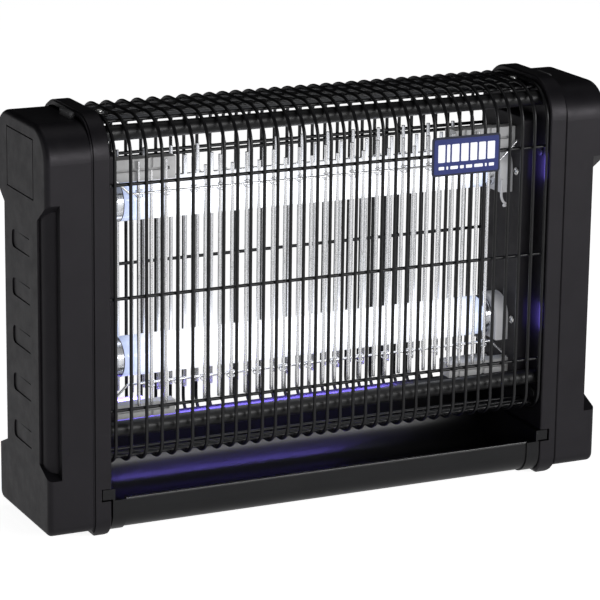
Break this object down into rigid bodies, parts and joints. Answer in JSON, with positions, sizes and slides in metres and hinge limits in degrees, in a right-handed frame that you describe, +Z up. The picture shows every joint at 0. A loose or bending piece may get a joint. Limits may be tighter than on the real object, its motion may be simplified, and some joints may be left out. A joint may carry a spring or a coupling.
{
  "type": "electric bug zapper",
  "caption": "Twin-tube electric bug zapper with moulded end housings, a curved wire guard, bright killing grids and a slide-out collecting tray.",
  "frame": {"origin": "middle of the footprint, on the surface the feet stand on", "axes": "+X along the length, -Y towards the front where the tray pulls out, +Z up"},
  "size_m": [0.392, 0.09, 0.2702],
  "materials": {
    "housing_plastic": "matte",
    "guard_black": "satin",
    "rail_black": "gloss",
    "screw_steel": "polished",
    "bracket_steel": "satin",
    "insulator_plastic": "matte",
    "grid_wire": "bright",
    "lamp_glass": "frosted",
    "lamp_metal": "satin",
    "lamp_pin": "polished",
    "holder_plastic": "matte",
    "tray_black": "gloss",
    "badge_navy": "gloss",
    "badge_blue": "gloss",
    "board_green": "matte",
    "capacitor_blue": "gloss",
    "transformer_core": "satin",
    "starter_white": "matte",
    "terminal_white": "matte",
    "bushing_rubber": "matte"
  },
  "bodies": {
    "body": {"badge_face": "badge_blue", "badge_plate": "badge_navy", "cable_bushing": "bushing_rubber", "front_guard_crosswires": "guard_black", "front_guard_uprights": "guard_black", "front_live_grid": "grid_wire", "front_lower_left_insulator": "insulator_plastic", "front_lower_right_insulator": "insulator_plastic", "front_return_grid": "grid_wire", "front_upper_left_insulator": "insulator_plastic", "front_upper_right_insulator": "insulator_plastic", "guard_screws": "screw_steel", "high_voltage_board": "board_green", "left_cap": "housing_plastic", "left_end_frame": "housing_plastic", "left_guard_bracket": "bracket_steel", "left_housing_screws": "screw_steel", "left_rail_screws": "screw_steel", "lower_ballast": "transformer_core", "lower_front_rail": "rail_black", "lower_left_lamp_holder": "holder_plastic", "lower_rear_rail": "rail_black", "lower_right_lamp_holder": "holder_plastic", "multiplier_capacitors": "capacitor_blue", "rear_guard_crosswires": "guard_black", "rear_guard_uprights": "guard_black", "rear_live_grid": "grid_wire", "rear_lower_left_insulator": "insulator_plastic", "rear_lower_right_insulator": "insulator_plastic", "rear_return_grid": "grid_wire", "rear_upper_left_insulator": "insulator_plastic", "rear_upper_right_insulator": "insulator_plastic", "right_cap": "housing_plastic", "right_end_frame": "housing_plastic", "right_guard_bracket": "bracket_steel", "right_housing_screws": "screw_steel", "right_rail_screws": "screw_steel", "starters": "starter_white", "step_up_transformer": "transformer_core", "terminal_block": "terminal_white", "top_guard_crosswires": "guard_black", "top_guard_uprights": "guard_black", "upper_ballast": "transformer_core", "upper_front_rail": "rail_black", "upper_left_lamp_holder": "holder_plastic", "upper_rear_rail": "rail_black", "upper_right_lamp_holder": "holder_plastic"},
    "tray": {"tray_pan": "tray_black", "left_tray_end": "tray_black", "right_tray_end": "tray_black"},
    "upper_lamp": {"upper_lamp_glass": "lamp_glass", "upper_lamp_ends": "lamp_metal", "upper_lamp_pins": "lamp_pin", "upper_lamp_rotors": "holder_plastic"},
    "lower_lamp": {"lower_lamp_glass": "lamp_glass", "lower_lamp_ends": "lamp_metal", "lower_lamp_pins": "lamp_pin", "lower_lamp_rotors": "holder_plastic"}
  },
  "joints": [
    {"name": "tray_slide", "type": "slide", "parent": "body", "child": "tray", "axis": [0, -1, 0], "range_m": [0, 0.075]},
    {"name": "upper_lamp_turn", "type": "hinge", "parent": "body", "child": "upper_lamp", "pos_m": [0, 0, 0.2067], "axis": [1, 0, 0], "range_deg": [0, 90]},
    {"name": "lower_lamp_turn", "type": "hinge", "parent": "body", "child": "lower_lamp", "pos_m": [0, 0, 0.1052], "axis": [1, 0, 0], "range_deg": [0, 90]}
  ]
}
